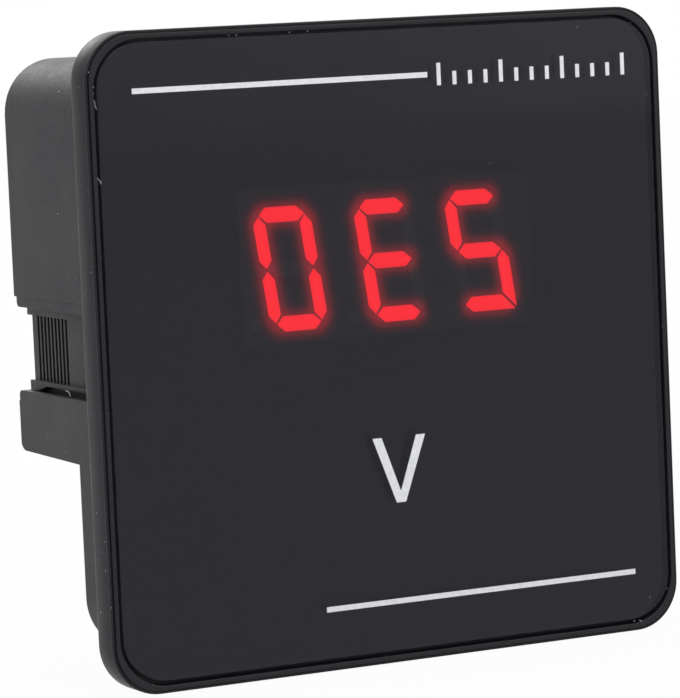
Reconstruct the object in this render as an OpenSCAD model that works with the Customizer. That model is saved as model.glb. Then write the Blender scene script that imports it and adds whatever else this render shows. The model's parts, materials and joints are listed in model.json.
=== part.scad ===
// Digital panel meter, 72 mm square front.
// A moulded bezel carries a smoked face plate and a three-digit display, and a stepped moulded
// housing behind it has a ratchet channel on each side for the panel clips, and two terminal
// studs on its shallow lower part.
//
// Every sub-part is drawn lying on its back: X to the right, Y up the face, Z out towards the
// reader, with Z = 0 on the plane where the bezel meets the panel. upright() then stands it up,
// so that in the finished part the face looks along -Y and +Z is up.

/* [Bezel] */
// Width of the bezel
bezel_w = 72; // [66:1:100]
// Height of the bezel
bezel_h = 72; // [68:1:100]
// How far the bezel stands out from the panel
bezel_t = 4; // [4:0.5:7]
// Radius of the bezel's corners
bezel_r = 5.5; // [4.5:0.1:7]
// Width of the raised rim round the face plate
rim_w = 0.85; // [0.75:0.05:1.5]
// Width of the fine lip along the rim's outer edge
edge_lip_w = 0.2; // [0.15:0.01:0.3]
// Width of the fine slot between that lip and the rim's bead
edge_slot_w = 0.2; // [0.15:0.01:0.3]
// Depth of the fine slot
edge_slot_d = 0.45; // [0.35:0.05:1]
// Width of the dark groove between the rim and the face plate
groove_w = 0.35; // [0.2:0.05:0.8]
// How far the bezel laps over the panel on each side
panel_lip = 3; // [2.5:0.25:5]

/* [Face plate] */
// Thickness of the face plate
plate_t = 1; // [0.8:0.1:2]
// Set-back of the face plate behind the rim
plate_recess = 0.05; // [0.05:0.05:0.3]
// Radius of the face plate's corners
plate_r = 5.2; // [4.2:0.1:6.5]
// Chamfer along the face plate's front edge
plate_chamfer = 0.15; // [0.05:0.05:0.3]
// Length of the upper printed line
upper_line_len = 36.2; // [10:0.2:38]
// Length of the lower printed line
lower_line_len = 40.2; // [10:0.1:42]
// Height of the long marks of the printed scale
scale_mark_h = 2.5; // [1:0.1:3]
// Number of spaces in the printed scale
scale_spaces = 12; // [4:1:16]

/* [Display] */
// Width of the display module
display_w = 37.6; // [37.2:0.1:38]
// Height of the display module
display_h = 19; // [17.4:0.1:19.4]
// Width of the window in the black sheet behind the face plate
window_w = 37; // [36:0.1:37.2]
// Height of the window in the black sheet behind the face plate
window_h = 17.2; // [16:0.1:17.4]
// Height of the display's centre above the middle of the face
display_y = 9.5; // [8:0.5:11]
// Sideways place of the display's centre
display_x = 0.3; // [-1:0.1:1]
// Height between the middles of a digit's top and bottom bars
digit_h = 12.1; // [10:0.1:12.5]
// Width between the middles of a digit's side bars
digit_w = 5.7; // [4.5:0.02:6.4]
// Thickness of the bars that lie across
bar_t = 1.66; // [1:0.02:1.9]
// Thickness of the bars that stand up
post_t = 1.46; // [1:0.02:1.7]
// How far the digits lean, in degrees
digit_lean = 7.9; // [0:0.1:10]

/* [Housing] */
// Depth of the housing behind the panel
housing_depth = 26; // [22:1:45]
// Depth of the shallow lower part
shelf_depth = 9.8; // [9.8:0.1:12]
// Height of the shallow lower part
shelf_h = 21.2; // [21:0.1:24]
// Radius of the housing's corners
housing_r = 6.2; // [5.4:0.1:8]
// Wall thickness of the housing
wall = 1.8; // [1.4:0.1:2.2]
// Rounding of the housing's rear edges
rear_round = 0.25; // [0.2:0.05:1]
// Rounding of the deep part's lower rear edge
foot_round = 1.5; // [0.8:0.1:2.5]
// Taper of the deep part's underside, in degrees
underside_draft = 1.2; // [0:0.1:2]

/* [Clip channels] */
// Height of each clip channel's mouth
channel_h = 9.55; // [8.5:0.05:12]
// Height of the channel's middle above the middle of the face
channel_y = 0.2; // [-1:0.1:2]
// Depth from the housing's side to the channel's rails
rail_d = 1.6; // [1.2:0.1:2]
// Depth from the rails to the toothed floor
rack_d = 0.6; // [0.4:0.1:1]
// Height of the toothed floor
rack_h = 7.5; // [5:0.1:7.8]
// Number of ratchet notches
notch_count = 9; // [4:1:14]
// Spacing of the ratchet notches
notch_pitch = 0.98; // [0.8:0.02:1.2]
// Plain land behind the first ratchet notch
notch_land = 1.4; // [0.8:0.1:3]
// Width of a ratchet notch
notch_w = 0.55; // [0.3:0.05:0.6]
// Depth of a ratchet notch
notch_d = 1; // [0.4:0.1:1.2]

/* [Terminals] */
// Radius of the terminal studs
stud_r = 2; // [1.5:0.25:2.5]
// Distance between the two terminal studs
stud_pitch = 25; // [20:1:30]
// Length of a stud behind the housing
stud_len = 13; // [12:0.5:16]

/* [Hidden] */
$fn = 48;
eps = 0.01;

// Bezel and face plate, by height above the panel plane
pocket_w = bezel_w - 2 * rim_w;
pocket_h = bezel_h - 2 * rim_w;
pocket_r = plate_r + groove_w;
plate_w = pocket_w - 2 * groove_w;
plate_h = pocket_h - 2 * groove_w;
// the plate is stuck in a little off the middle of its pocket
plate_at = [0.08, 0.08];
plate_front = bezel_t - plate_recess;
plate_back = plate_front - plate_t;
glue_t = 0.1;
floor_front = plate_back - glue_t;
floor_t = 1.6;
floor_back = floor_front - floor_t;
edge_lip_drop = 0.25;
edge_round = 0.1;
bead_round = 0.1;
seat_lap = 0.6;
moat_w = 0.7;
moat_d = 0.7;
ink_t = 0.03;

// Joint between bezel and housing: the housing's front edge stands in a groove of the bezel
body_w = bezel_w - 2 * panel_lip;
body_h = bezel_h - 2 * panel_lip;
joint_d = 1;
joint_gap = 0.1;
lip_t = 1.2;
lip_z = 0.6;
lip_root = floor_back + 0.25;

// Heights on the face, from its middle
step_y = shelf_h - body_h / 2;
print_margin = 5.35;
upper_print_y = bezel_h / 2 - 6.5;
lower_print_y = 6.95 - bezel_h / 2;
line_t = 0.6;

// Boards
board_t = 1.6;
display_depth = 7.6;
display_front = floor_front;
foot_t = 0.4;
display_board_front = display_front - display_depth - foot_t;
display_board_back = display_board_front - board_t;
board_gap = 10.25;
main_board_front = display_board_back - board_gap;
main_board_back = main_board_front - board_t;
channel_in = rail_d + rack_d + notch_d + 1;
lip_band = 1.2;
lip_inset = 0.4;
lip_end_round = 0.6;
slot_close = 2.5;
slot_ramp = 2.2;
slot_lift = 0.52;
board_side = 4.5;
board_hw = body_w / 2 - channel_in - board_side;
board_lo = step_y + wall + 0.9;
board_hi = body_h / 2 - 4;
pillar_in = 3;
pillar_up = 3.5;
pillar_x = board_hw - pillar_in;
pillar_af = 4.5;
boss_r = 2.4;
thread_r = 1.2;
thread_gap = 0.05;
thread_len = 4;
board_hole_r = 1.35;
pillar_at = [for (x = [-1, 1], y = [board_lo + pillar_up, board_hi - pillar_up]) [x * pillar_x, y]];

// Case screws, in the corners under the face plate
case_in = 4.6;
case_post_r = 3.2;
case_post_len = 12;
case_screw_r = 1.15;
case_screw_len = 7.5;
case_head_r = 2.3;
case_head_t = 1.45;
case_at = [for (x = [-1, 1], y = [-1, 1]) [x * (body_w / 2 - case_in), y * (body_h / 2 - case_in)]];

// Display: each digit's centre, and the small round points
digit_at = [[-12.33, -0.45], [0.17, -0.37], [11.7, -0.11]];
point_at = [-16.9, -4.7, 7.8];
point_r = 0.75;
point_y = -6.45;
bar_len = digit_w - 0.24;
post_len = digit_h / 2 - 0.32;
mitre = 0.9;
top_reach = 0.1;
segment_d = 1;
pocket_gap = 0.03;
// Bars in the order top, upper left, upper right, middle, lower left, lower right, bottom
LIT = [[1, 1, 1, 0, 1, 1, 1], [1, 1, 0, 1, 1, 0, 1], [1, 1, 0, 1, 0, 1, 1]];
square_foot = [false, false, true];
pin_w = 0.5;
pin_pitch = 2.54;
pin_rows = [-7.62, 7.62];
pins_per_row = 6;
pin_out = 1.2;

// Header between the boards
header_pins_n = 7;
header_y = board_lo + 3.5;
header_h = 2.5;

// Terminals
terminal_y = step_y / 2 - body_h / 4;
shelf_in = wall - shelf_depth;
collar_h = 1;
collar_r = 5.5;
strap_t = 0.8;
strap_w = 4;
strap_top = board_lo + 2.5;
stud_hole_r = stud_r + 0.1;
stud_head_t = 2.6;
relief_w = 0.8;
relief_d = 0.35;
nut_af = 7;
nut_t = 3.2;
washer_r = 4.5;
washer_t = 0.8;
spring_t = 1;
terminal_x = stud_pitch / 2;
barrier_t = 1.6;
barrier_d = 8;
stack_start = -shelf_depth - collar_h;
wire_nut_z = stack_start - 2 * washer_t - 2 * nut_t - spring_t;

// Colours
moulding = [0.09, 0.09, 0.095];
smoked = [0.03, 0.03, 0.035];
white_ink = [0.92, 0.92, 0.92];
glow_red = [1, 0.16, 0.19];
dull_segment = [0.17, 0.17, 0.18];
board_green = [0.05, 0.25, 0.12];
steel = [0.72, 0.72, 0.74];
brass = [0.78, 0.62, 0.28];
tin = [0.8, 0.8, 0.82];
component_black = [0.06, 0.06, 0.065];

// ---------------------------------------------------------------- shared shapes

// Stands a sub-part up, so that its face looks along -Y
module upright() {
    rotate([90, 0, 0]) children();
}

// Rectangle with round corners, centred
module round_rect(w, h, r) {
    square([w, h - 2 * r], center = true);
    square([w - 2 * r, h], center = true);
    for (x = [-1, 1], y = [-1, 1])
        translate([x * (w / 2 - r), y * (h / 2 - r)])
            circle(r);
}

// Plate with round corners, between two heights
module round_plate(w, h, r, z0, z1) {
    translate([0, 0, z0])
        linear_extrude(z1 - z0)
            round_rect(w, h, r);
}

// Runs a section round a rectangle with corner radius r.
// In the section, X = r is the rectangle's outline and Y is the height.
module run_round(w, h, r) {
    for (i = [0 : 3]) {
        a = i % 2 == 0 ? w : h;
        b = i % 2 == 0 ? h : w;
        rotate(90 * i)
            translate([a / 2 - r, b / 2 - r, 0]) {
                rotate_extrude(angle = 90) children();
                rotate([90, 0, 0]) linear_extrude(b - 2 * r) children();
            }
    }
}

// What is cut off an outer edge at height z, below r, to round it by e
module edge_cut(r, z, e) {
    difference() {
        translate([r - e, z - 1]) square([e + 1, e + 1]);
        translate([r - e, z + e]) circle(e);
    }
}

// Extrudes a side outline across the width: its X is the depth behind the panel
module across(len) {
    rotate([0, 90, 0])
        linear_extrude(len, center = true)
            children();
}

// Cylinder between two heights
module rod(r, z0, z1) {
    translate([0, 0, z0]) cylinder(r = r, h = z1 - z0);
}

// Hexagonal bar between two heights, af across its flats
module hex_rod(af, z0, z1) {
    translate([0, 0, z0]) cylinder(r = af / sqrt(3), h = z1 - z0, $fn = 6);
}

// Box between two heights, centred on X and Y
module block(w, h, z0, z1) {
    translate([-w / 2, -h / 2, z0]) cube([w, h, z1 - z0]);
}

// Places its children at each point of a list
module at_each(points) {
    for (p = points)
        translate([p[0], p[1], 0])
            children();
}

// ---------------------------------------------------------------- bezel and face

// Cut along the bezel's outer edge, by its section: the rounded back edge, the lip's rounded
// front edge, the slot behind it and the outer edge of the rim's bead
module outer_edge_cut() {
    lip_top = bezel_t - edge_lip_drop;
    slot_x = bezel_r - edge_lip_w;
    bead_x = slot_x - edge_slot_w;
    difference() {
        translate([bezel_r - edge_round, -1]) square([edge_round + 1, 1 + edge_round]);
        translate([bezel_r - edge_round, edge_round]) circle(edge_round);
    }
    difference() {
        translate([bezel_r - edge_round, lip_top - edge_round]) square([edge_round + 1, edge_round + 1]);
        translate([bezel_r - edge_round, lip_top - edge_round]) circle(edge_round);
    }
    translate([bead_x, lip_top]) square([edge_lip_w + edge_slot_w + 1, 2]);
    translate([bead_x, bezel_t - edge_slot_d]) square([edge_slot_w, edge_slot_d + 1]);
    difference() {
        translate([bead_x - bead_round, bezel_t - bead_round]) square([bead_round + edge_slot_w, bead_round + 1]);
        translate([bead_x - bead_round, bezel_t - bead_round]) circle(bead_round);
    }
}

// Cut that rounds the bead's inner edge, by its section on the pocket's outline
module inner_edge_cut() {
    difference() {
        translate([pocket_r - 0.5, bezel_t - bead_round]) square([0.5 + bead_round, bead_round + 1]);
        translate([pocket_r + bead_round, bezel_t - bead_round]) circle(bead_round);
    }
}

// Groove in the back of the bezel for the housing's front edge
module joint_groove() {
    difference() {
        round_plate(body_w + 2 * joint_gap, body_h + 2 * joint_gap, housing_r + joint_gap, -1, joint_d);
        round_plate(body_w - 2 * (wall + joint_gap), body_h - 2 * (wall + joint_gap),
            housing_r - wall - joint_gap, -2, joint_d + 1);
    }
}

module bezel() {
    lip_out = wall + joint_gap;
    lip_in = lip_out + lip_t;
    opening_w = display_w + 0.4;
    opening_h = display_h + 0.4;
    color(moulding) upright() difference() {
        union() {
            difference() {
                round_plate(bezel_w, bezel_h, bezel_r, 0, bezel_t);
                round_plate(body_w - 2 * seat_lap, body_h - 2 * seat_lap, housing_r - seat_lap,
                    -1, floor_back);
                round_plate(pocket_w, pocket_h, pocket_r, floor_front, bezel_t + 1);
                run_round(bezel_w, bezel_h, bezel_r) outer_edge_cut();
                run_round(pocket_w, pocket_h, pocket_r) inner_edge_cut();
            }
            difference() {
                round_plate(bezel_w - 4, bezel_h - 4, bezel_r - 2, lip_z, lip_root);
                round_plate(body_w - 2 * lip_in, body_h - 2 * lip_in, housing_r - lip_in, 0, lip_root + 1);
            }
            at_each(case_at) rod(case_post_r, 0, lip_root);
            at_each(pillar_at) rod(boss_r, display_board_front, lip_root);
            // collar that holds the display, and ribs below it
            translate([display_x, display_y, 0])
                block(opening_w + 2.4, opening_h + 2.4, floor_back - 2.5, lip_root);
            for (x = [-1, 1])
                translate([x * pillar_x / 2, 0, 0])
                    translate([-0.6, lower_print_y, floor_back - 1.5])
                        cube([1.2, board_lo - 2 - lower_print_y, 2]);
        }
        joint_groove();
        // shallow channel under the edge of the face plate, which makes the groove deep and dark
        difference() {
            round_plate(pocket_w, pocket_h, pocket_r, floor_front - moat_d, floor_front + 0.5);
            round_plate(pocket_w - 2 * moat_w, pocket_h - 2 * moat_w, pocket_r - moat_w,
                floor_front - moat_d - 1, floor_front + 1);
        }
        translate([display_x, display_y, 0])
            block(opening_w, opening_h, floor_back - 4, floor_front + 1);
        at_each(case_at) {
            rod(case_screw_r + 0.25, -1, floor_front + 1);
            rod(case_head_r + 0.2, floor_front - case_head_t - 0.15, floor_front + 1);
        }
        at_each(pillar_at)
            rod(thread_r + thread_gap, display_board_front - 1, display_board_front + thread_len + 0.3);
    }
}

module face_plate() {
    c = plate_chamfer;
    color(smoked) upright() translate(plate_at) difference() {
        round_plate(plate_w, plate_h, plate_r, plate_back, plate_front);
        run_round(plate_w, plate_h, plate_r)
            polygon([[plate_r - c - 1, plate_front + 1], [plate_r + 1, plate_front + 1],
                [plate_r + 1, plate_front - c - 1]]);
    }
}

// Black self-adhesive sheet that holds the face plate, with a window for the display
module plate_adhesive() {
    inset = moat_w + 0.1;
    color([0.02, 0.02, 0.02]) upright() difference() {
        round_plate(pocket_w - 2 * inset, pocket_h - 2 * inset, pocket_r - inset, floor_front, plate_back);
        translate([display_x, display_y, 0])
            block(window_w, window_h, floor_front - 1, plate_back + 1);
    }
}

// A flat printed mark on the front of the face plate
module printed() {
    color(white_ink) upright()
        translate([0, 0, plate_front])
            linear_extrude(ink_t)
                children();
}

module upper_line() {
    printed()
        translate([print_margin - bezel_w / 2, upper_print_y - line_t / 2])
            square([upper_line_len, line_t]);
}

module lower_line() {
    printed()
        translate([bezel_w / 2 - print_margin - 0.4 - lower_line_len, lower_print_y - line_t / 2])
            square([lower_line_len, line_t]);
}

// A plain scale of long and short marks
module scale_marks() {
    right = bezel_w / 2 - 4.75;
    left = print_margin - bezel_w / 2 + upper_line_len + 1.2;
    mark_w = 0.5;
    pitch = (right - left - mark_w) / scale_spaces;
    printed()
        for (i = [0 : scale_spaces]) {
            tall = i % 4 == 0 ? scale_mark_h : scale_mark_h * 0.6;
            translate([left + i * pitch, upper_print_y - scale_mark_h / 2])
                square([mark_w, tall]);
        }
}

// ---------------------------------------------------------------- display

// Leans a point of a digit over, about the digit's centre
function lean(p) = [p[0] - p[1] * tan(digit_lean), p[1]];

// Outline of a bar that lies across, g larger all round and e longer to the right
function bar_outline(y, g, e) = let (a = bar_len / 2 + g, b = bar_t / 2 + g, m = mitre)
    [[-a, y], [m - a, y + b], [a + e - m, y + b], [a + e, y], [a + e - m, y - b], [m - a, y - b]];

// Outline of a bar that stands up, g larger all round
function post_outline(x, y, g) = let (c = post_len / 2 + g, d = post_t / 2 + g, m = mitre)
    [[x, y + c], [x + d, y + c - m], [x + d, y + m - c], [x, y - c], [x - d, y + m - c],
     [x - d, y + c - m]];

// The lower right bar and the bottom bar, where they meet in a square corner
function square_post_outline(x, y, g) = let (c = post_len / 2 + g, d = post_t / 2 + g, m = mitre,
        foot = -(digit_h + bar_t) / 2)
    [[x, y + c], [x + d, y + c - m], [x + d, foot + 0.25 - g], [x - d, foot + bar_t + 0.25 - g],
     [x - d, y + c - m]];

function square_bar_outline(y, g) = let (a = bar_len / 2 + 0.2 + g, b = bar_t / 2 + g, m = mitre,
        x = (digit_w + post_t) / 2)
    [[-a, y], [m - a, y + b], [x - post_t - 0.2 + g, y + b], [x - 0.2 + g, y - b], [m - a, y - b]];

// Outline of bar i of a digit
function segment(i, squared, g) = let (x = digit_w / 2, y = digit_h / 2)
    i == 0 ? bar_outline(y, g, top_reach) :
    i == 1 ? post_outline(-x, y / 2, g) :
    i == 2 ? post_outline(x, y / 2, g) :
    i == 3 ? bar_outline(0, g, 0) :
    i == 4 ? post_outline(-x, -y / 2, g) :
    i == 5 ? (squared ? square_post_outline(x, -y / 2, g) : post_outline(x, -y / 2, g)) :
    squared ? square_bar_outline(-y, g) : bar_outline(-y, g, 0);

// The bars of every digit whose state is one of those in show
module segments(show, g, z0, z1) {
    for (d = [0 : 2])
        for (i = [0 : 6])
            if (len([for (s = show) if (s == LIT[d][i]) s]) > 0)
                translate([digit_at[d][0], digit_at[d][1], z0])
                    linear_extrude(z1 - z0)
                        polygon([for (p = segment(i, square_foot[d], g)) lean(p)]);
}

// The display's own frame: its middle at the origin of the face
module on_display() {
    upright()
        translate([display_x, display_y, 0])
            children();
}

module display_points(r, z0, z1) {
    for (x = point_at)
        translate([x, point_y, 0])
            rod(r, z0, z1);
}

module display_case() {
    back = display_front - display_depth;
    color([0.13, 0.13, 0.14]) on_display() difference() {
        union() {
            block(display_w, display_h, back, display_front);
            for (x = [-1, 1], y = [-1, 1])
                translate([x * (display_w / 2 - 1), y * (display_h / 2 - 1), 0])
                    block(1.6, 1.6, back - foot_t, back + 1);
        }
        segments([0, 1], pocket_gap, display_front - segment_d, display_front + 1);
        display_points(point_r + pocket_gap, display_front - segment_d, display_front + 1);
        // step along both long sides of the back, for the pins
        for (y = pin_rows)
            translate([0, y, 0])
                block(display_w - 6, 2.4, back - 1, back + 1.2);
    }
}

module lit_segments() {
    color(glow_red) on_display()
        segments([1], 0, display_front - segment_d, display_front);
}

module dark_segments() {
    color(dull_segment) on_display()
        segments([0], 0, display_front - segment_d, display_front);
}

module decimal_points() {
    color(dull_segment) on_display()
        display_points(point_r, display_front - segment_d, display_front);
}

module pin_places() {
    for (y = pin_rows, i = [0 : pins_per_row - 1])
        translate([(i - (pins_per_row - 1) / 2) * pin_pitch * 2, y, 0])
            children();
}

module display_pins() {
    color(tin) on_display()
        pin_places()
            block(pin_w, pin_w, display_board_back - pin_out, display_front - display_depth + 1.2);
}

// ---------------------------------------------------------------- boards

module board_plate(z0, z1) {
    translate([-board_hw, board_lo, z0])
        cube([2 * board_hw, board_hi - board_lo, z1 - z0]);
}

module header_places() {
    for (i = [0 : header_pins_n - 1])
        translate([(i - (header_pins_n - 1) / 2) * pin_pitch, header_y, 0])
            children();
}

module display_board() {
    z0 = display_board_back;
    z1 = display_board_front;
    color(board_green) upright() difference() {
        board_plate(z0, z1);
        at_each(pillar_at) rod(board_hole_r, z0 - 1, z1 + 1);
        translate([display_x, display_y, 0])
            pin_places()
                block(pin_w + 0.2, pin_w + 0.2, z0 - 1, z1 + 1);
        header_places() block(pin_w + 0.2, pin_w + 0.2, z0 - 1, z1 + 1);
    }
}

// Small parts on the back of the display board
module segment_resistors() {
    color(component_black) upright()
        for (i = [0 : 7])
            translate([(i - 3.5) * 3.4, display_y - 2.5, 0])
                block(1.25, 2, display_board_back - 0.5, display_board_back);
}

module digit_transistors() {
    color(component_black) upright()
        for (d = digit_at)
            translate([display_x + d[0], display_y + 2.5, 0])
                block(2.9, 1.4, display_board_back - 1, display_board_back);
}

// Hexagonal pillars: a thread screws into the bezel, a tapped hole takes the rear screw
module board_pillars() {
    color(brass) upright() at_each(pillar_at) difference() {
        union() {
            hex_rod(pillar_af, main_board_front, display_board_back);
            rod(thread_r, display_board_back - 1, display_board_front + thread_len);
        }
        rod(thread_r + thread_gap, main_board_front - 1, main_board_front + thread_len);
    }
}

// Where each lead and tab goes through the main board: x, y and hole radius
film_at = [-8.5, board_hi - 7];
smoothing_at = [7.3, board_hi - 7.6];
filter_at = [14.6, board_hi - 6];
bridge_at = [-15, board_lo + 18];
dropper_at = [-2, board_lo + 21.3];
surge_at = [-15, board_lo + 10];
chip_at = [2.5, board_lo + 12.5];
crystal_at = [17, board_lo + 12];
trimmer_at = [17.3, board_lo + 21];
lead_r = 0.35;
lead_hole_r = 0.5;
lead_end = main_board_back - pin_out;
lead_at = concat(
    [for (s = [-1, 1]) film_at + [s * 7.5, 0]],
    [for (s = [-1, 1]) smoothing_at + [s * 1.75, 0]],
    [for (s = [-1, 1]) filter_at + [s * 1, 0]],
    [for (s = [-1, 1]) dropper_at + [s * 7.5, 0]],
    [for (s = [-1, 1]) surge_at + [s * 2.5, 0]],
    [for (s = [-1, 1]) crystal_at + [s * 2.45, 0]],
    [for (s = [-1, 1], t = [-1, 1]) bridge_at + [s * 2.55, t * 3.6]],
    [for (s = [-1, 0, 1]) trimmer_at + [s * 2.54, 0]]
);

// A pair of leads either side of the origin, from a body down through the board
module leads(spread, top) {
    for (s = [-1, 1])
        translate([s * spread, 0, 0])
            rod(lead_r, lead_end, top);
}

module main_board() {
    z0 = main_board_back;
    z1 = main_board_front;
    color(board_green) upright() difference() {
        board_plate(z0, z1);
        at_each(pillar_at) rod(board_hole_r, z0 - 1, z1 + 1);
        header_places() block(pin_w + 0.2, pin_w + 0.2, z0 - 1, z1 + 1);
        at_each(lead_at) rod(lead_hole_r, z0 - 1, z1 + 1);
        for (x = [-1, 1])
            translate([x * terminal_x, strap_top - strap_t / 2, 0])
                block(strap_w / 2 + 0.4, strap_t + 0.4, z0 - 1, z1 + 1);
    }
}

module board_screws() {
    head_t = 1.4;
    color(steel) upright() at_each(pillar_at) difference() {
        union() {
            rod(2.2, main_board_back - head_t, main_board_back);
            rod(thread_r, main_board_back - 0.1, main_board_front + thread_len - 0.5);
        }
        for (a = [0, 90])
            rotate(a) block(2.4, 0.5, main_board_back - head_t - 1, main_board_back - head_t + 0.7);
    }
}

module board_header() {
    color(component_black) upright()
        translate([0, header_y, 0]) difference() {
            block(header_pins_n * pin_pitch, 2.5, main_board_front, main_board_front + header_h);
            translate([0, -header_y, 0])
                header_places() block(pin_w, pin_w, main_board_front - 1, main_board_front + header_h + 1);
        }
}

module header_pins() {
    color(brass) upright()
        header_places() block(pin_w, pin_w, lead_end, display_board_front + 1);
}

module film_capacitor() {
    color([0.75, 0.6, 0.15]) upright() translate([film_at[0], film_at[1], 0]) {
        block(18, 7.5, main_board_front, main_board_front + 8);
        leads(7.5, main_board_front + 1);
    }
}

// A radial can: its sleeve is waisted below the top, over the rubber seal
module can_capacitor(r, h) {
    z0 = main_board_front;
    difference() {
        union() {
            rod(r, z0, z0 + h);
            leads(r * 0.44, z0 + 1);
        }
        translate([0, 0, z0 + 1.6])
            rotate_extrude() translate([r + 0.15, 0]) circle(0.45);
        for (a = [0, 90])
            rotate(a) block(r * 1.2, 0.25, z0 + h - 0.2, z0 + h + 1);
    }
}

module smoothing_capacitor() {
    color([0.08, 0.1, 0.2]) upright() translate([smoothing_at[0], smoothing_at[1], 0]) can_capacitor(4, 8.5);
}

module filter_capacitor() {
    color([0.08, 0.1, 0.2]) upright() translate([filter_at[0], filter_at[1], 0]) can_capacitor(2.27, 6.5);
}

module bridge_rectifier() {
    color(component_black) upright() translate([bridge_at[0], bridge_at[1], 0]) {
        block(8.5, 6.4, main_board_front + 0.5, main_board_front + 3.7);
        for (x = [-1, 1], y = [-1, 1])
            translate([x * 2.55, y * 3.6, 0]) {
                rod(lead_r, lead_end, main_board_front + 2.3);
                translate([0, -y * 0.4, 0]) block(0.7, 1.4, main_board_front + 1.8, main_board_front + 2.3);
            }
    }
}

module dropper_resistor() {
    axis_z = main_board_front + 2.6;
    color([0.55, 0.62, 0.6]) upright() translate([dropper_at[0], dropper_at[1], 0]) {
        translate([0, 0, axis_z]) rotate([0, 90, 0]) {
            translate([0, 0, -5.5]) cylinder(r = 1.7, h = 11);
            for (s = [-1, 1])
                translate([0, 0, s * 4.2 - 1.3]) cylinder(r = 2, h = 2.6);
            translate([0, 0, -7.5]) cylinder(r = lead_r, h = 15);
        }
        for (s = [-1, 1])
            translate([s * 7.5, 0, 0]) {
                rod(lead_r, lead_end, axis_z);
                translate([0, 0, axis_z]) sphere(r = lead_r);
            }
    }
}

module surge_disc() {
    color([0.1, 0.25, 0.5]) upright() translate([surge_at[0], surge_at[1], 0]) {
        translate([0, 1.5, main_board_front + 4.2]) rotate([90, 0, 0]) cylinder(r = 3.9, h = 3);
        leads(2.5, main_board_front + 2.4);
    }
}

module control_chip() {
    color(component_black) upright() translate([chip_at[0], chip_at[1], 0]) difference() {
        block(12.8, 7.5, main_board_front + 0.2, main_board_front + 2.5);
        translate([-6.4, 0, 0]) rod(0.8, main_board_front + 2.2, main_board_front + 3);
    }
}

module chip_legs() {
    color(tin) upright() translate([chip_at[0], chip_at[1], 0])
        for (s = [-1, 1], i = [0 : 9])
            translate([(i - 4.5) * 1.27, s * 3.75, 0]) {
                translate([-0.2, s > 0 ? 0 : -0.7, main_board_front + 1.1]) cube([0.4, 0.7, 0.25]);
                translate([-0.2, s > 0 ? 0.45 : -0.7, main_board_front]) cube([0.4, 0.25, 1.2]);
                translate([-0.2, s > 0 ? 0.45 : -1.4, main_board_front]) cube([0.4, 0.95, 0.25]);
            }
}

module clock_crystal() {
    color(steel) upright() translate([crystal_at[0], crystal_at[1], 0]) {
        translate([0, 0, main_board_front])
            linear_extrude(0.4) round_rect(11.2, 4.7, 2.3);
        translate([0, 0, main_board_front])
            linear_extrude(3.5) round_rect(10.4, 3.9, 1.9);
        leads(2.45, main_board_front + 1);
    }
}

module trimmer_body() {
    color([0.1, 0.25, 0.6]) upright() translate([trimmer_at[0], trimmer_at[1], 0]) difference() {
        union() {
            block(9.5, 9.5, main_board_front + 0.4, main_board_front + 5.2);
            for (x = [-1, 1], y = [-1, 1])
                translate([x * 3.9, y * 3.9, 0]) block(1.4, 1.4, main_board_front, main_board_front + 1);
            for (s = [-1, 0, 1])
                translate([s * 2.54, 0, 0]) rod(lead_r, lead_end, main_board_front + 1);
        }
        rod(1.9, main_board_front + 3.6, main_board_front + 6);
    }
}

module trimmer_screw() {
    color(brass) upright() translate([trimmer_at[0], trimmer_at[1], 0]) difference() {
        rod(1.8, main_board_front + 3.6, main_board_front + 5.5);
        block(5, 0.6, main_board_front + 5, main_board_front + 6);
    }
}

// ---------------------------------------------------------------- housing

// Side outline of the housing: the shallow part full height, the deep part above the step
module side_outline() {
    foot_d = housing_depth - foot_round;
    foot_y = step_y + (foot_d - shelf_depth) * tan(underside_draft) + foot_round / cos(underside_draft);
    tangent = [foot_d + foot_round * sin(underside_draft), foot_y - foot_round * cos(underside_draft)];
    translate([-joint_d, -body_h / 2]) square([joint_d + shelf_depth, body_h]);
    translate([foot_d, foot_y]) circle(foot_round);
    polygon([
        [0, body_h / 2],
        [housing_depth, body_h / 2],
        [housing_depth, foot_y],
        [foot_d, foot_y],
        tangent,
        [shelf_depth, step_y],
        [0, step_y]
    ]);
}

module housing_outside() {
    difference() {
        intersection() {
            round_plate(body_w, body_h, housing_r, -housing_depth, joint_d);
            across(body_w + 2) side_outline();
        }
        run_round(body_w, body_h, housing_r) edge_cut(housing_r, -housing_depth, rear_round);
        intersection() {
            run_round(body_w, body_h, housing_r) edge_cut(housing_r, -shelf_depth, rear_round);
            translate([-bezel_w, step_y - bezel_h, -housing_depth - 1])
                cube([2 * bezel_w, bezel_h, housing_depth + 2]);
        }
    }
}

module housing_inside() {
    intersection() {
        round_plate(body_w - 2 * wall, body_h - 2 * wall, housing_r - wall,
            wall - housing_depth, joint_d + 1);
        across(body_w) {
            translate([-2, -body_h / 2]) square([2 - shelf_in, body_h]);
            translate([0, step_y + wall]) square([housing_depth, body_h]);
        }
    }
}

// The right-hand clip channel's place: X = 0 on the housing's side, growing outwards
module channel_places() {
    for (side = [0, 1])
        mirror([side, 0, 0])
            translate([body_w / 2, channel_y, 0])
                children();
}

// Solid that the channel is cut into, inside the housing
module channel_backing() {
    below = channel_h / 2 + 1 + wall;
    translate([-channel_in, -below, -housing_depth + wall / 2])
        cube([channel_in - 0.5, 2 * below, housing_depth - wall / 2 + lip_z - 0.1]);
}

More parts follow.
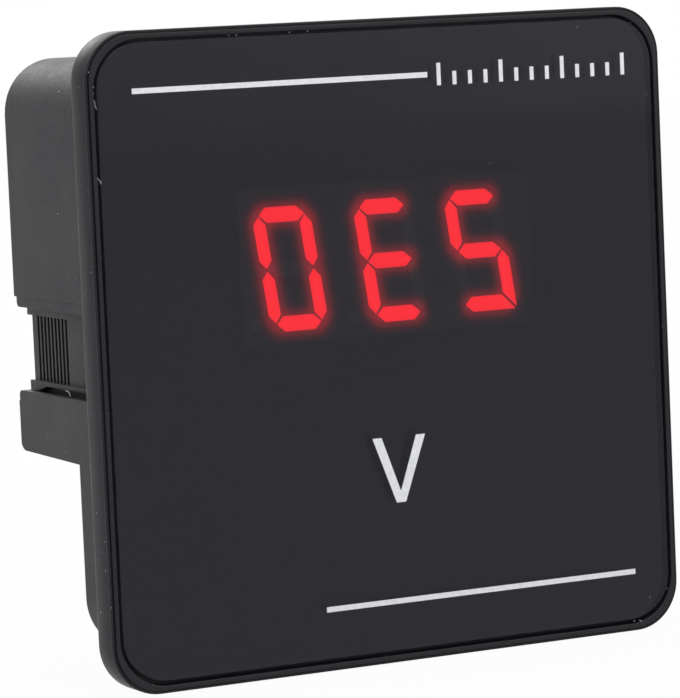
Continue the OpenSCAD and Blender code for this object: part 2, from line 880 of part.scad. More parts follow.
module channel_cut() {
    back = -housing_depth - 1;
    long = housing_depth + 1;
    lip = 0.8;
    slot_top = 0.9;
    // mouth, down to the rails
    translate([-rail_d, -channel_h / 2, back]) cube([rail_d + 1, channel_h, long]);
    // undercut slots behind both lips, which hold the clip's feet; the lower one is taller, and
    // its rear end closes on a ramp
    translate([-rail_d - 0.8, channel_h / 2 - 0.1, back]) cube([rail_d + 0.8 - lip, slot_top, long - 1.2]);
    translate([-rail_d - 0.8, 0, 0]) rotate([0, 90, 0]) linear_extrude(rail_d + 0.8 - lip)
        polygon([
            [housing_depth - slot_close, -channel_h / 2],
            [housing_depth - slot_close - slot_ramp, slot_lift - channel_h / 2],
            [1.2, slot_lift - channel_h / 2],
            [1.2, -channel_h / 2 - slot_top],
            [housing_depth - slot_close, -channel_h / 2 - slot_top]
        ]);
    // toothed floor between the rails
    translate([-rail_d - rack_d, -rack_h / 2, back]) cube([rail_d + rack_d + 1, rack_h, long]);
    for (i = [0 : notch_count - 1])
        translate([-rail_d - rack_d - notch_d, -rack_h / 2, -housing_depth + notch_land + i * notch_pitch])
            cube([notch_d + 1, rack_h, notch_w]);
    // the side wall stands back a little above the mouth
    translate([-0.2, channel_h / 2 - eps, back]) cube([1.2, lip_band, long - 0.8]);
    // both lips end short of the rear face, with a rounded corner
    for (s = [0, 1])
        mirror([0, s, 0])
            translate([-rail_d, channel_h / 2, -housing_depth]) {
                translate([0, -eps, -1]) cube([rail_d + 1, lip_band + eps, 1 + lip_inset]);
                difference() {
                    translate([0, -eps, lip_inset - 0.5]) cube([rail_d + 1, lip_end_round + eps, lip_end_round + 0.5]);
                    translate([-1, lip_end_round, lip_inset + lip_end_round])
                        rotate([0, 90, 0]) cylinder(r = lip_end_round, h = rail_d + 3);
                }
            }
}

// Collar round each stud hole, and a barrier that keeps the two wires apart
module terminal_mouldings() {
    for (x = [-1, 1])
        translate([x * terminal_x, terminal_y, 0])
            rod(collar_r, stack_start, -shelf_depth + 0.5);
    translate([0, terminal_y, 0])
        block(barrier_t, shelf_h - 4.5, -shelf_depth - barrier_d, -shelf_depth + 0.5);
}

module housing() {
    color(moulding) upright() difference() {
        union() {
            difference() {
                housing_outside();
                difference() {
                    housing_inside();
                    channel_places() channel_backing();
                    for (p = case_at)
                        translate([p[0], p[1], 0])
                            rod(case_post_r, p[1] > 0 ? -case_post_len : -housing_depth, 0);
                }
            }
            terminal_mouldings();
        }
        channel_places() channel_cut();
        at_each(case_at) rod(case_screw_r + thread_gap, -case_screw_len + 0.5, 1);
        for (x = [-1, 1])
            translate([x * terminal_x, terminal_y, 0])
                rod(stud_hole_r, stack_start - 1, 0);
    }
}

module case_screws() {
    head_z = floor_front - case_head_t - 0.15;
    color(steel) upright() at_each(case_at) difference() {
        union() {
            rod(case_head_r, head_z, head_z + case_head_t);
            rod(case_screw_r, head_z - case_screw_len, head_z + 0.1);
        }
        for (a = [0, 90])
            rotate(a) block(2.6, 0.55, head_z + 0.7, head_z + 3);
    }
}

// ---------------------------------------------------------------- terminals

// Brass strap from the stud's head up behind the display board and through the main board
module contact_strap(side) {
    x = side * terminal_x;
    bend = 1.2;
    color(brass) upright() difference() {
        union() {
            translate([x, terminal_y, 0]) rod(4.2, shelf_in, shelf_in + strap_t);
            translate([x - strap_w / 2, terminal_y, shelf_in])
                cube([strap_w, strap_top - bend - terminal_y, strap_t]);
            // the bend
            translate([x - strap_w / 2, strap_top - bend, shelf_in + strap_t - bend])
                rotate([90, 0, 90]) linear_extrude(strap_w) intersection() {
                    difference() {
                        circle(bend);
                        circle(bend - strap_t);
                    }
                    square(bend);
                }
            translate([x - strap_w / 2, strap_top - strap_t, main_board_front + 0.4])
                cube([strap_w, strap_t, shelf_in + strap_t - bend - main_board_front - 0.4]);
            translate([x - strap_w / 4, strap_top - strap_t, lead_end])
                cube([strap_w / 2, strap_t, main_board_front + 1 - lead_end]);
        }
        translate([x, terminal_y, 0]) rod(stud_hole_r, shelf_in - 1, shelf_in + 2);
    }
}

module contact_strap_left() {
    contact_strap(-1);
}

module contact_strap_right() {
    contact_strap(1);
}

// Places its children on the axis of both terminals
module at_terminals() {
    for (x = [-1, 1])
        translate([x * terminal_x, terminal_y, 0])
            children();
}

module terminal_studs() {
    head_z = shelf_in + strap_t;
    end_z = -shelf_depth - stud_len;
    chamfer = 0.4;
    color(brass) upright() at_terminals() difference() {
        union() {
            hex_rod(nut_af, head_z, head_z + stud_head_t);
            rod(stud_r, end_z + chamfer, head_z + 0.1);
            translate([0, 0, end_z]) cylinder(r1 = stud_r - chamfer, r2 = stud_r, h = chamfer);
        }
        // thread relief under the outer nut's outer face
        difference() {
            rod(stud_r + 1, wire_nut_z, wire_nut_z + relief_w);
            rod(stud_r - relief_d, wire_nut_z - 1, wire_nut_z + relief_w + 1);
        }
    }
}

module ring(r, z0, z1) {
    difference() {
        rod(r, z0, z1);
        rod(stud_hole_r, z0 - 1, z1 + 1);
    }
}

// Nut with the corners of its outer face turned off
module nut(z0) {
    difference() {
        intersection() {
            hex_rod(nut_af, z0, z0 + nut_t);
            union() {
                rod(nut_af * 0.56, z0 + 0.5, z0 + nut_t);
                translate([0, 0, z0]) cylinder(r1 = nut_af * 0.49, r2 = nut_af * 0.56, h = 0.5);
            }
        }
        rod(stud_r + 0.02, z0 - 1, z0 + nut_t + 1);
    }
}

module seat_washers() {
    color(steel) upright() at_terminals() ring(washer_r, stack_start - washer_t, stack_start);
}

module clamp_nuts() {
    color(brass) upright() at_terminals() nut(stack_start - washer_t - nut_t);
}

module wire_washers() {
    z = stack_start - washer_t - nut_t;
    color(steel) upright() at_terminals() ring(washer_r, z - washer_t, z);
}

// Split spring washer
module spring_washers() {
    z = stack_start - 2 * washer_t - nut_t;
    color(steel) upright() at_terminals() difference() {
        ring(3.6, z - spring_t, z);
        rotate(30) translate([0, -0.3, z - spring_t - 1]) cube([5, 0.6, spring_t + 2]);
    }
}

module wire_nuts() {
    color(brass) upright() at_terminals() nut(wire_nut_z);
}

bezel();
face_plate();
plate_adhesive();
upper_line();
lower_line();
scale_marks();
display_case();
lit_segments();
dark_segments();
decimal_points();
display_pins();
display_board();
segment_resistors();
digit_transistors();
board_pillars();
main_board();
board_screws();
board_header();
header_pins();
film_capacitor();
smoothing_capacitor();
filter_capacitor();
bridge_rectifier();
dropper_resistor();
surge_disc();
control_chip();
chip_legs();
clock_crystal();
trimmer_body();
trimmer_screw();
housing();
case_screws();
contact_strap_left();
contact_strap_right();
terminal_studs();
seat_washers();
clamp_nuts();
wire_washers();
spring_washers();
wire_nuts();
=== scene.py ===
import json
import math
import random

import bpy
from mathutils import Matrix, Vector


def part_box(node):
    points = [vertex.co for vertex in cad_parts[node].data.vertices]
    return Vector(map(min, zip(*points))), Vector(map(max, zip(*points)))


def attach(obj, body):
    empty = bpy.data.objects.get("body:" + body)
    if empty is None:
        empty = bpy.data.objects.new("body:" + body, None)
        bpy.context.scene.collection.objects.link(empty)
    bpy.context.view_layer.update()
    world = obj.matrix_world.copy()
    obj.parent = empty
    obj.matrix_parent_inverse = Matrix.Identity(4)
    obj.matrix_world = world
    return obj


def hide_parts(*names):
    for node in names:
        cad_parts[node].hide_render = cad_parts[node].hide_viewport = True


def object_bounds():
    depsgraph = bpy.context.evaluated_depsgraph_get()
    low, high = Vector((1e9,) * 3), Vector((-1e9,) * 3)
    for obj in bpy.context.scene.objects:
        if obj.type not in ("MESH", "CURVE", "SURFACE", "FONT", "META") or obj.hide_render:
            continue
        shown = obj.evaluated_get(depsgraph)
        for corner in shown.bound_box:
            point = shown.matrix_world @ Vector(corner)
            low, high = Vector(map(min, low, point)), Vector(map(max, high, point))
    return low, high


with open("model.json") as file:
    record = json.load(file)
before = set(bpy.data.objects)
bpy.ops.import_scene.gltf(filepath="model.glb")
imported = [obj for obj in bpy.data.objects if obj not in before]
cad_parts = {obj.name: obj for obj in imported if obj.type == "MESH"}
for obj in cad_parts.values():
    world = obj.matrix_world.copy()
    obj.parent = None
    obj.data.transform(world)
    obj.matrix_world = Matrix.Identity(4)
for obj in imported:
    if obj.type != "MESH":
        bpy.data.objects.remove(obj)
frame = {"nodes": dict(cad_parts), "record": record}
nodes = frame["nodes"]
cad_lo, cad_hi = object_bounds()
MM = 0.001
scene = bpy.context.scene


# ------------------------------------------------------------------ camera, light, floor

def look(location, forward, right):
    """A camera matrix from its viewing direction and its right-hand side."""
    f = Vector(forward).normalized()
    r = (Vector(right) - f * f.dot(Vector(right))).normalized()
    u = r.cross(f)
    m = Matrix((r, u, -f)).transposed().to_4x4()
    m.translation = Vector(location)
    return m


cam_data = bpy.data.cameras.new("camera")
cam_data.lens = 204.32
cam_data.sensor_width = 36
cam_data.sensor_fit = "AUTO"
cam_data.clip_start = 0.01
cam_data.clip_end = 50
cam = bpy.data.objects.new("camera", cam_data)
scene.collection.objects.link(cam)
cam.matrix_world = look((-0.207875, -0.391221, 0.040226), (0.458678, 0.883802, -0.092246),
                        (0.884851, -0.463803, -0.043889))
scene.camera = cam


def area(name, at, aim, size, power):
    """A square soft box at a point, facing another."""
    data = bpy.data.lights.new(name, "AREA")
    data.shape = "RECTANGLE"
    data.size, data.size_y = size
    data.energy = power
    obj = bpy.data.objects.new(name, data)
    obj.location = at
    obj.rotation_mode = "QUATERNION"
    obj.rotation_quaternion = (Vector(aim) - Vector(at)).to_track_quat("-Z", "Y")
    scene.collection.objects.link(obj)


area("soft_back", (-0.12, 0.85, 0.55), (0, 0, 0), (0.5, 0.3), 1.5)
area("soft_left", (-0.8, 0.1, 0.5), (0, 0, 0), (0.5, 0.5), 1.5)
area("soft_front", (0.2, -0.9, 0.8), (0, 0, 0), (0.6, 0.6), 3)

world = bpy.data.worlds.new("studio")
scene.world = world
world.use_nodes = True
wn = world.node_tree
wn.nodes.clear()


def world_node(kind, **values):
    n = wn.nodes.new(kind)
    for key, value in values.items():
        setattr(n, key, value)
    return n


def background(colour, strength):
    n = world_node("ShaderNodeBackground")
    n.inputs["Color"].default_value = (*colour, 1)
    n.inputs["Strength"].default_value = strength
    return n


# brightness of the studio as a gloss surface shows it, by how far a direction leans up and right
STUDIO = [(-0.30, 0.76), (0.10, 1.0), (0.177, 1.10), (0.232, 1.33), (0.70, 2.0)]
w_out = world_node("ShaderNodeOutputWorld")
w_path = world_node("ShaderNodeLightPath")
w_clear = world_node("ShaderNodeMath", operation="ADD", use_clamp=True)
wn.links.new(w_path.outputs["Is Camera Ray"], w_clear.inputs[0])
wn.links.new(w_path.outputs["Is Transmission Ray"], w_clear.inputs[1])
w_coord = world_node("ShaderNodeTexCoord")
w_lean = world_node("ShaderNodeVectorMath", operation="DOT_PRODUCT")
w_lean.inputs[1].default_value = (0.45, 0, 0.55)
wn.links.new(w_coord.outputs["Generated"], w_lean.inputs[0])
w_curve = world_node("ShaderNodeFloatCurve")
curve = w_curve.mapping.curves[0]
lean_lo, lean_hi, top = STUDIO[0][0], STUDIO[-1][0], STUDIO[-1][1]
for i, (lean, level) in enumerate(STUDIO):
    at = ((lean - lean_lo) / (lean_hi - lean_lo), level / top)
    if i in (0, len(STUDIO) - 1):
        curve.points[0 if i == 0 else -1].location = at
    else:
        curve.points.new(*at)
w_curve.mapping.update()
w_span = world_node("ShaderNodeMapRange")
w_span.inputs["From Min"].default_value = lean_lo
w_span.inputs["From Max"].default_value = lean_hi
wn.links.new(w_lean.outputs["Value"], w_span.inputs["Value"])
wn.links.new(w_span.outputs["Result"], w_curve.inputs["Value"])
w_level = world_node("ShaderNodeMath", operation="MULTIPLY")
w_level.inputs[1].default_value = top
wn.links.new(w_curve.outputs[0], w_level.inputs[0])
w_gloss = background((1, 1, 1), 1)
wn.links.new(w_level.outputs[0], w_gloss.inputs["Strength"])
w_mix = world_node("ShaderNodeMixShader")
wn.links.new(w_clear.outputs[0], w_mix.inputs[0])
wn.links.new(background((0.96, 0.98, 1), 0.75).outputs[0], w_mix.inputs[1])
wn.links.new(background((1, 1, 1), 1).outputs[0], w_mix.inputs[2])
w_mix2 = world_node("ShaderNodeMixShader")
wn.links.new(w_path.outputs["Is Glossy Ray"], w_mix2.inputs[0])
wn.links.new(w_mix.outputs[0], w_mix2.inputs[1])
wn.links.new(w_gloss.outputs[0], w_mix2.inputs[2])
wn.links.new(w_mix2.outputs[0], w_out.inputs["Surface"])

scene.view_settings.view_transform = "Standard"


# ------------------------------------------------------------------ material tools

class Mat:
    """A small wrapper that builds one node material."""

    def __init__(self, name, colour=(0.5, 0.5, 0.5), rough=0.5, metal=0.0, spec=0.5, alpha=1.0):
        self.m = bpy.data.materials.new(name)
        self.m.use_nodes = True
        self.t = self.m.node_tree
        self.t.nodes.clear()
        self.out = self.t.nodes.new("ShaderNodeOutputMaterial")
        self.p = self.t.nodes.new("ShaderNodeBsdfPrincipled")
        self.p.inputs["Base Color"].default_value = (*colour, 1)
        self.p.inputs["Roughness"].default_value = rough
        self.p.inputs["Metallic"].default_value = metal
        self.p.inputs["Specular IOR Level"].default_value = spec
        self.p.inputs["Alpha"].default_value = alpha
        self.t.links.new(self.p.outputs[0], self.out.inputs["Surface"])
        self.coord = self.t.nodes.new("ShaderNodeTexCoord").outputs["Object"]
        self.normal = None

    def link(self, a, b):
        self.t.links.new(a, b)

    def math(self, op, a, b=None, c=None, clamp=False):
        n = self.t.nodes.new("ShaderNodeMath")
        n.operation = op
        n.use_clamp = clamp
        for i, v in enumerate((a, b, c)):
            if v is None:
                continue
            if isinstance(v, (int, float)):
                n.inputs[i].default_value = v
            else:
                self.link(v, n.inputs[i])
        return n.outputs[0]

    def vec(self, op, a, b=None, scale=None, out="Vector"):
        n = self.t.nodes.new("ShaderNodeVectorMath")
        n.operation = op
        for i, v in enumerate((a, b)):
            if v is None:
                continue
            if isinstance(v, (tuple, list, Vector)):
                n.inputs[i].default_value = tuple(v)
            else:
                self.link(v, n.inputs[i])
        if scale is not None:
            if isinstance(scale, (int, float)):
                n.inputs["Scale"].default_value = scale
            else:
                self.link(scale, n.inputs["Scale"])
        return n.outputs[out]

    def stretch(self, s):
        """Object coordinates times a vector, for patterns that run one way."""
        return self.vec("MULTIPLY", self.coord, s)

    def noise(self, size, detail=3.0, rough=0.55, vector=None):
        """Noise whose grains are about size metres across."""
        n = self.t.nodes.new("ShaderNodeTexNoise")
        n.inputs["Scale"].default_value = 1 / size
        n.inputs["Detail"].default_value = detail
        n.inputs["Roughness"].default_value = rough
        self.link(vector or self.coord, n.inputs["Vector"])
        return n.outputs["Fac"]

    def cells(self, size, out="Distance"):
        """Scattered cells about size metres across: the distance to each one's point, or its colour."""
        n = self.t.nodes.new("ShaderNodeTexVoronoi")
        n.inputs["Scale"].default_value = 1 / size
        self.link(self.coord, n.inputs["Vector"])
        return n.outputs[out]

    def span(self, value, lo, hi, a, b):
        """value from lo..hi to a..b, held at the ends."""
        n = self.t.nodes.new("ShaderNodeMapRange")
        n.inputs["From Min"].default_value = lo
        n.inputs["From Max"].default_value = hi
        n.inputs["To Min"].default_value = a
        n.inputs["To Max"].default_value = b
        self.link(value, n.inputs["Value"])
        return n.outputs["Result"]

    def blend(self, fac, a, b):
        """A colour between a and b."""
        n = self.t.nodes.new("ShaderNodeMix")
        n.data_type = "RGBA"
        for sock, v in ((n.inputs["Factor"], fac), (n.inputs[6], a), (n.inputs[7], b)):
            if isinstance(v, (tuple, list)):
                sock.default_value = (*v, 1)
            elif isinstance(v, (int, float)):
                sock.default_value = v
            else:
                self.link(v, sock)
        return n.outputs[2]

    def colour(self, sock):
        self.link(sock, self.p.inputs["Base Color"])
        return self

    def roughness(self, sock):
        self.link(sock, self.p.inputs["Roughness"])
        return self

    def round_edges(self, radius):
        n = self.t.nodes.new("ShaderNodeBevel")
        n.samples = 4
        n.inputs["Radius"].default_value = radius
        self.normal = n.outputs[0]
        self.link(self.normal, self.p.inputs["Normal"])
        return self

    def bump(self, height, depth, strength=1.0):
        n = self.t.nodes.new("ShaderNodeBump")
        n.inputs["Distance"].default_value = depth
        n.inputs["Strength"].default_value = strength
        self.link(height, n.inputs["Height"])
        if self.normal is not None:
            self.link(self.normal, n.inputs["Normal"])
        self.normal = n.outputs[0]
        self.link(self.normal, self.p.inputs["Normal"])
        return self


def specks(m, size, share, radius):
    """0 or 1: small scattered dots. share is how many cells hold one; radius is in cells."""
    far = m.cells(size)
    pick = m.t.nodes.new("ShaderNodeSeparateColor")
    m.link(m.cells(size, out="Color"), pick.inputs[0])
    there = m.math("LESS_THAN", pick.outputs[0], share)
    big = m.math("MULTIPLY", pick.outputs[1], radius)
    return m.math("MULTIPLY", there, m.math("LESS_THAN", far, big))


def moulded(name, base, rough, spec, grain, grain_depth, dust, painted_edge_highlight):
    """Black moulded plastic: pebbled, a little uneven in tone, with a painted highlight along its sharp edges."""
    m = Mat(name, base, rough, spec=spec)
    m.round_edges(0.06 * MM)
    true = m.t.nodes.new("ShaderNodeNewGeometry").outputs["Normal"]
    edge = m.span(m.vec("DOT_PRODUCT", m.normal, true, out="Value"), 0.985, 0.80, 0, 1)
    broad = m.noise(9 * MM, 2)
    fine = m.noise(0.5 * MM, 2)
    tone = m.blend(m.span(broad, 0.35, 0.65, 0, 1), tuple(c * 0.88 for c in base),
                   tuple(c * 1.15 for c in base))
    tone = m.blend(m.span(fine, 0.35, 0.65, 0, 0.5), tone, tuple(c * 1.5 for c in base))
    # painted highlight: along sharp edges, where the rounded shading normal leans off the true one, the colour turns
    # to the last, pale colour given
    tone = m.blend(edge, tone, painted_edge_highlight)
    if dust > 0:
        spots = specks(m, 0.9 * MM, dust, 0.10)
        tone = m.blend(spots, tone, (0.42, 0.42, 0.42))
    m.colour(tone)
    m.roughness(m.span(m.math("ADD", broad, fine), 0.7, 1.3, rough - 0.06, rough + 0.08))
    m.bump(m.noise(grain, 2.5, 0.6), grain_depth, 1.0)
    m.bump(m.noise(4 * MM, 1), 0.05 * MM, 0.12)
    return m


def dip(m, along, centre, width, deep):
    """A narrow rounded furrow across a coordinate, as a height."""
    off = m.math("DIVIDE", m.math("ADD", along, -centre), width)
    bell = m.math("EXPONENT", m.math("MULTIPLY", m.math("MULTIPLY", off, off), -1))
    return m.math("MULTIPLY", bell, -deep)


mats = {}
# the last colour given to moulded is the painted highlight along sharp edges
m = moulded("bezel_moulding", (0.0105, 0.0092, 0.0125), 0.36, 0.22, 0.16 * MM, 0.006 * MM, 0.05,
            (0.060, 0.058, 0.062))
mats["bezel"] = m
# the side of the bezel is slightly crowned towards its front, with a hair-line just behind the lip
# and a fine dark furrow along its back edge
split = m.t.nodes.new("ShaderNodeSeparateXYZ")
m.link(m.coord, split.inputs[0])
depth = split.outputs["Y"]
ahead = m.math("MAXIMUM", m.math("SUBTRACT", -0.4 * MM, depth), 0)
crown = m.math("MULTIPLY", m.math("MULTIPLY", ahead, ahead), -44)
hair = dip(m, depth, -3.33 * MM, 0.08 * MM, 0.03 * MM)
seam = dip(m, depth, -0.06 * MM, 0.12 * MM, 0.10 * MM)
m.bump(m.math("ADD", m.math("ADD", crown, hair), seam), 1.0, 1.0)
# here too the last colour is the painted highlight along sharp edges
mats["housing"] = moulded("housing_moulding", (0.0152, 0.0128, 0.0162), 0.44, 0.22, 0.34 * MM, 0.045 * MM, 0.05,
                          (0.070, 0.067, 0.071))

# smoked clear plate: a gloss surface that lets a quarter of the light through
m = Mat("smoked_plate", (0.0018, 0.0002, 0.0096), 0.05, spec=0.53, alpha=0.5)
m.roughness(m.span(m.noise(14 * MM, 3), 0.35, 0.7, 0.03, 0.075))
m.bump(m.noise(18 * MM, 1), 0.05 * MM, 0.05)
mats["face_plate"] = m

m = Mat("plate_adhesive", (0.003, 0.003, 0.003), 0.6, spec=0.1)
m.colour(m.blend(m.noise(1.5 * MM), (0.002, 0.002, 0.002), (0.005, 0.005, 0.005)))
mats["adhesive"] = m

# screen print: fine mesh marks and a slightly uneven edge tone
m = Mat("white_ink", (0.80, 0.80, 0.80), 0.5)
m.colour(m.blend(m.span(m.noise(0.35 * MM, 4), 0.35, 0.7, 0, 1), (0.74, 0.74, 0.745), (0.86, 0.86, 0.86)))
m.bump(m.noise(0.12 * MM, 2), 0.004 * MM, 0.5)
mats["white_print"] = m

# ------------------------------------------------------------------ the lit bars and their glow

# middle of the display, size of its window and middles of its digits, in mm on the face
DISPLAY = (0.3, 9.5)
WINDOW = (37, 17.2)
DIGITS = [(-12.33, -0.45), (0.17, -0.37), (11.7, -0.11)]
HALF_W, HALF_H, LEAN = 5.7 / 2, 6.05, math.tan(math.radians(7.9))
BAR_EDGE, END_GAP = 0.75 * MM, 0.17
LIT = [(1, 1, 1, 0, 1, 1, 1), (1, 1, 0, 1, 1, 0, 1), (1, 1, 0, 1, 0, 1, 1)]
BARS = [((-1, 1), (1, 1)), ((-1, 0), (-1, 1)), ((1, 0), (1, 1)), ((-1, 0), (1, 0)),
        ((-1, -1), (-1, 0)), ((1, -1), (1, 0)), ((-1, -1), (1, -1))]


def bar_ends(d, i):
    """Both ends of a bar's middle line, in metres in the row frame."""
    ends = []
    (ax, ay), (bx, by) = BARS[i]
    kx, ky = END_GAP * 0.8, END_GAP
    ax, bx = ax + (bx - ax) * kx, bx - (bx - ax) * kx
    ay, by = ay + (by - ay) * ky, by - (by - ay) * ky
    for x, y in ((ax, ay), (bx, by)):
        x, y = x * HALF_W, y * HALF_H
        cx, cy = DISPLAY[0] + DIGITS[d][0], DISPLAY[1] + DIGITS[d][1]
        ends.append(Vector(((cx + x - y * LEAN) * MM, 0, (cy + y) * MM)))
    return ends


lit_bars = [bar_ends(d, i) for d in range(3) for i in range(7) if LIT[d][i]]


def bar_distances(m):
    """Distances in the face's plane to each lit bar's middle line."""
    flat = m.vec("MULTIPLY", m.coord, (1, 0, 1))
    out = []
    for a, b in lit_bars:
        ab = b - a
        ap = m.vec("SUBTRACT", flat, a)
        t = m.math("MULTIPLY", m.vec("DOT_PRODUCT", ap, ab, out="Value"), 1 / ab.length_squared, clamp=True)
        out.append(m.vec("LENGTH", m.vec("SUBTRACT", ap, m.vec("SCALE", ab, scale=t)), out="Value"))
    return out


def near_bars(m):
    """Distance in the face's plane to the nearest lit bar's middle line."""
    best = None
    for d in bar_distances(m):
        best = d if best is None else m.math("MINIMUM", best, d)
    return best


def glow(m, strength, reach, most):
    """Painted red glow on surfaces that are no lamp: light that spreads from the lit bars through the face, and adds
    up between them.
    """
    m.p.inputs["Emission Color"].default_value = (1, 0.012, 0.022, 1)
    total = None
    for d in bar_distances(m):
        away = m.math("DIVIDE", m.math("MAXIMUM", m.math("SUBTRACT", d, BAR_EDGE), 0), reach)
        part = m.math("EXPONENT", m.math("MULTIPLY", m.math("POWER", away, 1.6), -1))
        total = part if total is None else m.math("ADD", total, part)
    m.link(m.math("MINIMUM", m.math("MULTIPLY", total, strength), most), m.p.inputs["Emission Strength"])


m = Mat("display_face", (0.027, 0.027, 0.028), 0.5, spec=0.2)
m.colour(m.blend(m.noise(1.2 * MM), (0.024, 0.024, 0.025), (0.030, 0.030, 0.031)))
# painted glow: red emission on the display face around the lit bars
glow(m, 0.66, 0.68 * MM, 0.80)
mats["display_plastic"] = m

m = Mat("bar_unlit", (0.042, 0.041, 0.044), 0.45, spec=0.2)
m.colour(m.blend(m.noise(0.6 * MM), (0.064, 0.065, 0.067), (0.076, 0.077, 0.079)))
# painted glow: the unlit bars carry the same red emission around the lit bars
glow(m, 0.66, 0.68 * MM, 0.80)
mats["segment_dark"] = m

m = Mat("bar_lit", (0.5, 0.02, 0.02), 0.4)
m.p.inputs["Emission Color"].default_value = (1, 0.008, 0.018, 1)
m.link(m.span(near_bars(m), 0.16 * MM, 0.8 * MM, 3.55, 3.3), m.p.inputs["Emission Strength"])
mats["segment_lit"] = m

# ------------------------------------------------------------------ metals and inner parts

m = Mat("brass", (0.66, 0.46, 0.17), 0.3, metal=1)
m.round_edges(0.08 * MM)
m.colour(m.blend(m.noise(1.6 * MM, 4), (0.58, 0.39, 0.13), (0.74, 0.54, 0.22)))
m.roughness(m.span(m.noise(0.5 * MM, 3), 0.3, 0.7, 0.22, 0.42))
m.bump(m.noise(0.4 * MM, 2, vector=m.stretch((1, 0.12, 1))), 0.004 * MM, 0.5)
mats["brass"] = m

m = Mat("zinc_steel", (0.58, 0.58, 0.60), 0.32, metal=1)
m.round_edges(0.06 * MM)
m.colour(m.blend(m.noise(1.1 * MM, 4), (0.50, 0.51, 0.54), (0.66, 0.66, 0.67)))
m.roughness(m.span(m.noise(0.3 * MM, 3), 0.3, 0.7, 0.25, 0.45))
m.bump(m.noise(0.25 * MM, 2), 0.003 * MM, 0.5)
mats["steel"] = m

m = Mat("tin_plate", (0.72, 0.72, 0.74), 0.25, metal=1)
m.roughness(m.span(m.noise(0.4 * MM), 0.3, 0.7, 0.18, 0.4))
mats["tinned"] = m

m = Mat("solder_mask", (0.01, 0.09, 0.035), 0.3)
m.colour(m.blend(m.span(m.noise(2.2 * MM, 2), 0.45, 0.55, 0, 1), (0.008, 0.075, 0.03), (0.014, 0.11, 0.045)))
m.bump(m.noise(2.2 * MM, 2), 0.02 * MM, 0.4)
mats["board"] = m

for name, colour, rough in (
    ("component_black", (0.02, 0.02, 0.02), 0.5),
    ("film_yellow", (0.60, 0.40, 0.04), 0.4),
    ("sleeve", (0.012, 0.016, 0.04), 0.3),
    ("resistor_body", (0.22, 0.30, 0.27), 0.45),
    ("disc_blue", (0.03, 0.11, 0.36), 0.35),
    ("trimmer_blue", (0.02, 0.10, 0.45), 0.35),
):
    m = Mat(name, colour, rough)
    m.colour(m.blend(m.noise(0.8 * MM), tuple(c * 0.8 for c in colour),
                     tuple(min(1, c * 1.2) for c in colour)))
    m.roughness(m.span(m.noise(0.4 * MM), 0.3, 0.7, rough - 0.08, rough + 0.1))
    m.bump(m.noise(0.2 * MM, 2), 0.004 * MM, 0.5)
    mats[name] = m

for part in frame["record"]["subparts"]:
    mesh = nodes[part["node"]].data
    mesh.materials.clear()
    mesh.materials.append(mats[part["material_slot"]].m)


# ------------------------------------------------------------------ pieces made here

def piece(name, verts, faces, material, smooth=False):
    mesh = bpy.data.meshes.new(name)
    mesh.from_pydata([tuple(v) for v in verts], [], faces)
    mesh.update()
    if smooth:
        mesh.shade_smooth()
    mesh.materials.append(mats[material].m)
    obj = bpy.data.objects.new(name, mesh)
    scene.collection.objects.link(obj)
    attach(obj, "root")
    return obj


def flat_mark(name, outline, front, back):
    """A thin printed shape: outline is (x, z) in mm, anticlockwise as the reader sees it."""
    n = len(outline)
    verts = [Vector((x, front, z)) * MM for x, z in outline] + [Vector((x, back, z)) * MM for x, z in outline]
    faces = [list(range(n)), list(range(2 * n - 1, n - 1, -1))]
    faces += [[(i + 1) % n, i, n + i, n + (i + 1) % n] for i in range(n)]
    piece(name, verts, faces, "white_print")


# the unit letter on the face
plate_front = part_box("face_plate")[0].y / MM
ink_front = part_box("upper_line")[0].y / MM
flat_mark("unit_mark", [(-3.34, -10.55), (-0.58, -17.96), (0.58, -17.96), (3.34, -10.55), (2.19, -10.55),
                        (0, -16.71), (-2.19, -10.55)], ink_front, plate_front)


def threaded_studs():
    """Both terminal studs with a rolled thread, a hexagonal head and a chamfered end."""
    lo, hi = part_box("terminal_studs")
    r, pitch, root = 1.995, 0.7, 1.66
    head, flats, apart = 2.6, 7.0, 12.5
    around, per = 32, 8
    verts, faces = [], []
    y0, y1 = lo.y / MM, hi.y / MM
    for side in (-1, 1):
        cx, cz = side * apart, (lo.z + hi.z) / 2 / MM
        start = len(verts)
        af = flats / 2 / math.cos(math.pi / 6)
        for y, k in ((y0, 0.94), (y0 + 0.25, 1.0), (y0 + head, 1.0)):
            for i in range(6):
                a = math.pi / 3 * i
                verts.append(Vector((cx + af * k * math.cos(a), y, cz + af * k * math.sin(a))))
        faces.append([start + i for i in range(6)])
        for ring in (0, 1):
            for i in range(6):
                a, b = start + ring * 6 + i, start + ring * 6 + (i + 1) % 6
                faces.append([b, a, a + 6, b + 6])
        faces.append([start + 12 + i for i in reversed(range(6))])
        rows = int((y1 - y0 - head) / pitch * per)
        first = len(verts)
        for j in range(rows + 1):
            y = y0 + head + (y1 - y0 - head) * j / rows
            for i in range(around):
                turn = ((y - y0) / pitch - i / around) % 1
                crest = min(1.0, max(0.0, 2.6 * abs(turn - 0.5) - 0.15))
                rr = root + (r - root) * crest
                rr = min(rr, 1.6 + max(0, (y1 - y)) * 1.0, 1.7 + (y - y0 - head) * 1.2)
                a = 2 * math.pi * i / around
                verts.append(Vector((cx + rr * math.cos(a), y, cz + rr * math.sin(a))))
        for j in range(rows):
            for i in range(around):
                a, b = first + j * around + i, first + j * around + (i + 1) % around
                faces.append([b, a, a + around, b + around])
        faces.append([first + i for i in range(around)])
        last = first + rows * around
        faces.append([last + i for i in reversed(range(around))])
    obj = piece("threaded_studs", [v * MM for v in verts], faces, "brass")
    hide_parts("terminal_studs")


threaded_studs()


